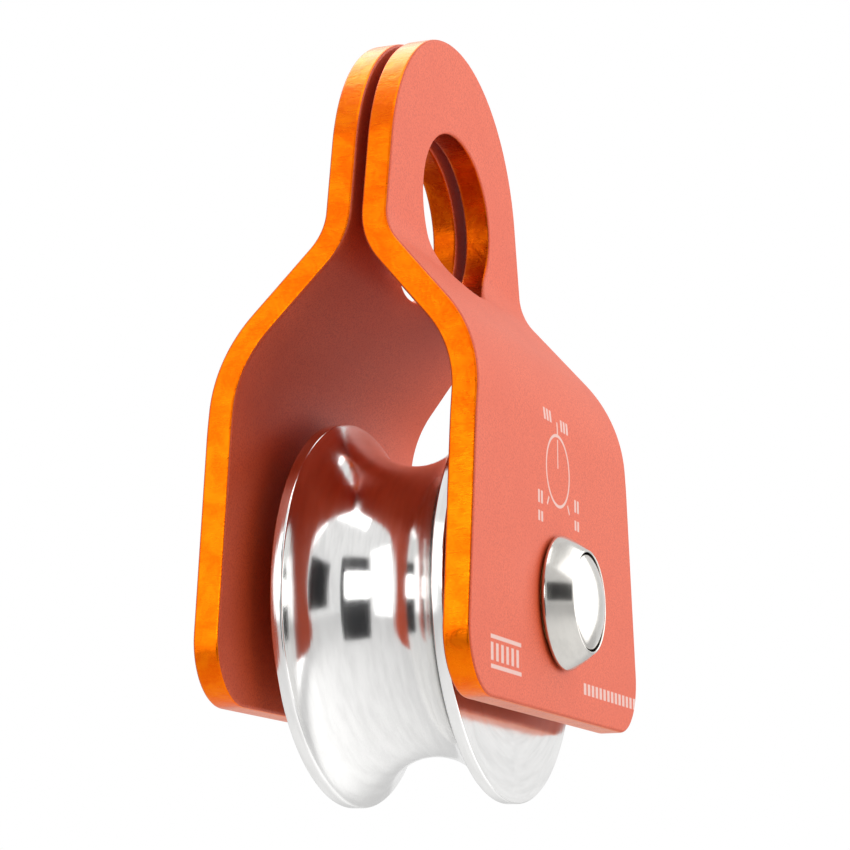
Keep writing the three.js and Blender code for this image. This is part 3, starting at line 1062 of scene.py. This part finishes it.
class PulleyStage(bpy.types.PropertyGroup):
    """The camera's place and the light."""

    azimuth: FloatProperty(
        name="Azimuth",
        description="Camera's turn to the near side from straight ahead",
        default=math.radians(21.29),
        subtype="ANGLE",
    )
    elevation: FloatProperty(
        name="Elevation",
        description="Camera's height as an angle; below zero it looks up",
        default=math.radians(-11.76),
        subtype="ANGLE",
    )
    roll: FloatProperty(
        name="Roll", description="Camera's tilt", default=math.radians(-0.22), subtype="ANGLE"
    )
    distance: length("Distance", "From the camera to its target", 416.4 * MM)
    lens: FloatProperty(
        name="Lens", description="Focal length in millimetres", default=110.2, subtype="NONE"
    )
    target_right: FloatProperty(
        name="Target right",
        description="Target's offset to the camera's right",
        default=-0.7 * MM,
        subtype="DISTANCE",
        unit="LENGTH",
    )
    target_above_pin: length("Target above pin", "Target's height over the pin", 29.94 * MM)
    floor_depth: length("Floor depth", "How far the floor is below the eye", 0.62)
    pale: colour("Floor", "Colour of the floor", (0.86, 0.86, 0.855))


def add_camera(stage):
    """A camera that looks at its target from below and a little to the near side."""
    turn, rise = stage.azimuth, stage.elevation
    back = Vector((math.sin(turn) * math.cos(rise), -math.cos(turn) * math.cos(rise), math.sin(rise)))
    right = Vector((math.cos(turn), math.sin(turn), 0))
    up = back.cross(right)
    tilted_right = right * math.cos(stage.roll) + up * math.sin(stage.roll)
    tilted_up = up * math.cos(stage.roll) - right * math.sin(stage.roll)
    target = right * stage.target_right + Vector((0, 0, PIN_HEIGHT + stage.target_above_pin))
    camera = bpy.data.objects.new("camera", bpy.data.cameras.new("camera"))
    place = Matrix((tilted_right, tilted_up, back)).transposed().to_4x4()
    place.translation = target + back * stage.distance
    camera.matrix_world = place
    camera.data.lens = stage.lens
    camera.data.sensor_width = 36
    camera.data.clip_start = 0.01
    camera.data.clip_end = 30
    bpy.context.scene.collection.objects.link(camera)
    bpy.context.scene.camera = camera


# name, (azimuth and elevation in degrees, distance), (width, height), watts, only reflected
SOFTBOXES = (
    ("near_side_wall", (112, 20, 0.85), (1.5, 1.5), 10, False),
    ("top_box", (20, 78, 1.2), (0.8, 0.8), 2.5, False),
    ("front_left_box", (-34, 14, 1.0), (0.5, 0.9), 1.25, True),
    ("back_left_box", (-135, 60, 1.0), (0.6, 0.6), 2.6, True),
    ("camera_box", (0, 10, 0.5), (0.26, 0.17), 0.5, True),
)
FLAGS = (
    ("front_flag", (3, 2, 0.6), (0.4, 0.7)),
    ("side_flag", (49, 10, 0.6), (0.26, 0.3)),
)
WORLD_LIGHTING = (0.16, 0.16, 0.16)
WORLD_REFLECTED = (0.85, 0.85, 0.85)
FLOOR_GLOW_SEEN = 0.5
FLOOR_GLOW_LIGHTING = 0.06


def direction(azimuth, elevation):
    """Unit vector from the pulley: azimuth from straight ahead to the near side, in degrees."""
    a, e = math.radians(azimuth), math.radians(elevation)
    return Vector((math.sin(a) * math.cos(e), -math.cos(a) * math.cos(e), math.sin(e)))


def add_softbox(name, azimuth, elevation, distance, width, height, power, reflect_only):
    """A soft rectangular light that faces the middle of the pulley."""
    light = bpy.data.lights.new(name, "AREA")
    light.shape = "RECTANGLE"
    light.size = width
    light.size_y = height
    light.energy = power
    lamp = bpy.data.objects.new(name, light)
    away = direction(azimuth, elevation)
    lamp.location = Vector((0, 0, PIN_HEIGHT / 2)) + away * distance
    lamp.rotation_mode = "QUATERNION"
    lamp.rotation_quaternion = away.to_track_quat("Z", "Y")
    lamp.visible_diffuse = not reflect_only
    bpy.context.scene.collection.objects.link(lamp)


def add_flag(name, azimuth, elevation, distance, width, height):
    """A black board that only shows as a dark reflection."""
    bm = bmesh.new()
    bmesh.ops.create_grid(bm, x_segments=1, y_segments=1, size=0.5)
    bmesh.ops.scale(bm, verts=bm.verts[:], vec=(width, height, 1))
    away = direction(azimuth, elevation)
    matrix = away.to_track_quat("Z", "Y").to_matrix().to_4x4()
    matrix.translation = Vector((0, 0, PIN_HEIGHT / 2)) + away * distance
    bmesh.ops.transform(bm, verts=bm.verts[:], matrix=matrix)
    material, _, shader = start_material(name)
    shader.inputs["Base Color"].default_value = (0.012, 0.012, 0.014, 1)
    shader.inputs["Roughness"].default_value = 0.9
    board = place_object(bm, name, [material])
    board.visible_camera = False
    board.visible_shadow = False
    board.visible_diffuse = False


def add_world():
    """White to the eye, bright where it reflects, and dimmer where it only lights."""
    world = bpy.data.worlds.new("studio")
    world.use_nodes = True
    tree = world.node_tree
    tree.nodes.clear()
    path = put(tree, "ShaderNodeLightPath").outputs
    level = blend_colours(tree, path["Is Glossy Ray"], WORLD_LIGHTING, WORLD_REFLECTED)
    shown = blend_colours(tree, path["Is Camera Ray"], level, (1, 1, 1))
    surround = put(tree, "ShaderNodeBackground", {}, {"Color": shown, "Strength": 1.0})
    put(tree, "ShaderNodeOutputWorld", {}, {0: surround.outputs[0]})
    bpy.context.scene.world = world


def add_floor(stage):
    """A plain pale floor, well below the hanging pulley."""
    bm = bmesh.new()
    bmesh.ops.create_circle(bm, cap_ends=True, segments=96, radius=6)
    bmesh.ops.translate(bm, verts=bm.verts[:], vec=(0, 0, -stage.floor_depth))
    material, tree, shader = start_material("floor")
    soft = use_group(tree, "Blasted grain", {"Pits per Metre": 60, "Clouds per Metre": 1.5})
    low = tuple(channel * 0.98 for channel in stage.pale)
    lighting = put(tree, "ShaderNodeLightPath").outputs["Is Diffuse Ray"]
    set_shader(
        tree,
        shader,
        {
            "Base Color": blend_colours(tree, soft["Clouds"], stage.pale, low),
            "Roughness": 0.85,
            "Specular IOR Level": 0.1,
            "Emission Color": (1, 1, 1, 1),
            "Emission Strength": spread(tree, lighting, FLOOR_GLOW_SEEN, FLOOR_GLOW_LIGHTING),
        },
    )
    place_object(bm, "floor", [material])


class PULLEY_OT_stage(bpy.types.Operator):
    """Sets the camera, the floor, the background and the lights"""

    bl_idname = "pulley.stage"
    bl_label = "Set Stage"

    def execute(self, context):
        stage = context.scene.pulley_stage
        context.scene.view_settings.view_transform = "Standard"
        add_camera(stage)
        add_world()
        add_floor(stage)
        for name, place, size, power, reflect_only in SOFTBOXES:
            add_softbox(name, *place, *size, power, reflect_only)
        for name, place, size in FLAGS:
            add_flag(name, *place, *size)
        return {"FINISHED"}


class PULLEY_PT_panel(bpy.types.Panel):
    """Sizes, finishes and build steps of the pulley"""

    bl_idname = "PULLEY_PT_panel"
    bl_label = "Rope Pulley"
    bl_space_type = "VIEW_3D"
    bl_region_type = "UI"
    bl_category = "Rope Pulley"

    def draw(self, context):
        for holder in PROPERTY_GROUPS:
            box = self.layout.box()
            values = getattr(context.scene, holder)
            for name in values.bl_rna.properties.keys():
                if name not in ("rna_type", "name"):
                    box.prop(values, name)
        for operator in OPERATORS:
            self.layout.operator(operator.bl_idname)


OPERATORS = (
    PULLEY_OT_stage,
    PULLEY_OT_cheeks,
    PULLEY_OT_sheave,
    PULLEY_OT_axle,
    PULLEY_OT_bearing,
)
PROPERTY_GROUPS = {
    "pulley_cheeks": PulleyCheekSizes,
    "pulley_sheave": PulleySheaveSizes,
    "pulley_axle": PulleyAxleSizes,
    "pulley_bearing": PulleyBearingSizes,
    "pulley_finishes": PulleyFinishes,
    "pulley_stage": PulleyStage,
}


def register():
    for group in (*PROPERTY_GROUPS.values(), *OPERATORS, PULLEY_PT_panel):
        bpy.utils.register_class(group)
    for name, group in PROPERTY_GROUPS.items():
        setattr(bpy.types.Scene, name, PointerProperty(type=group))


def unregister():
    for name in PROPERTY_GROUPS:
        delattr(bpy.types.Scene, name)
    for group in (PULLEY_PT_panel, *reversed(OPERATORS), *reversed(PROPERTY_GROUPS.values())):
        bpy.utils.unregister_class(group)


def main():
    register()
    bpy.ops.pulley.stage()
    bpy.ops.pulley.cheeks()
    bpy.ops.pulley.sheave()
    bpy.ops.pulley.axle()
    bpy.ops.pulley.bearing()


if __name__ == "__main__":
    main()
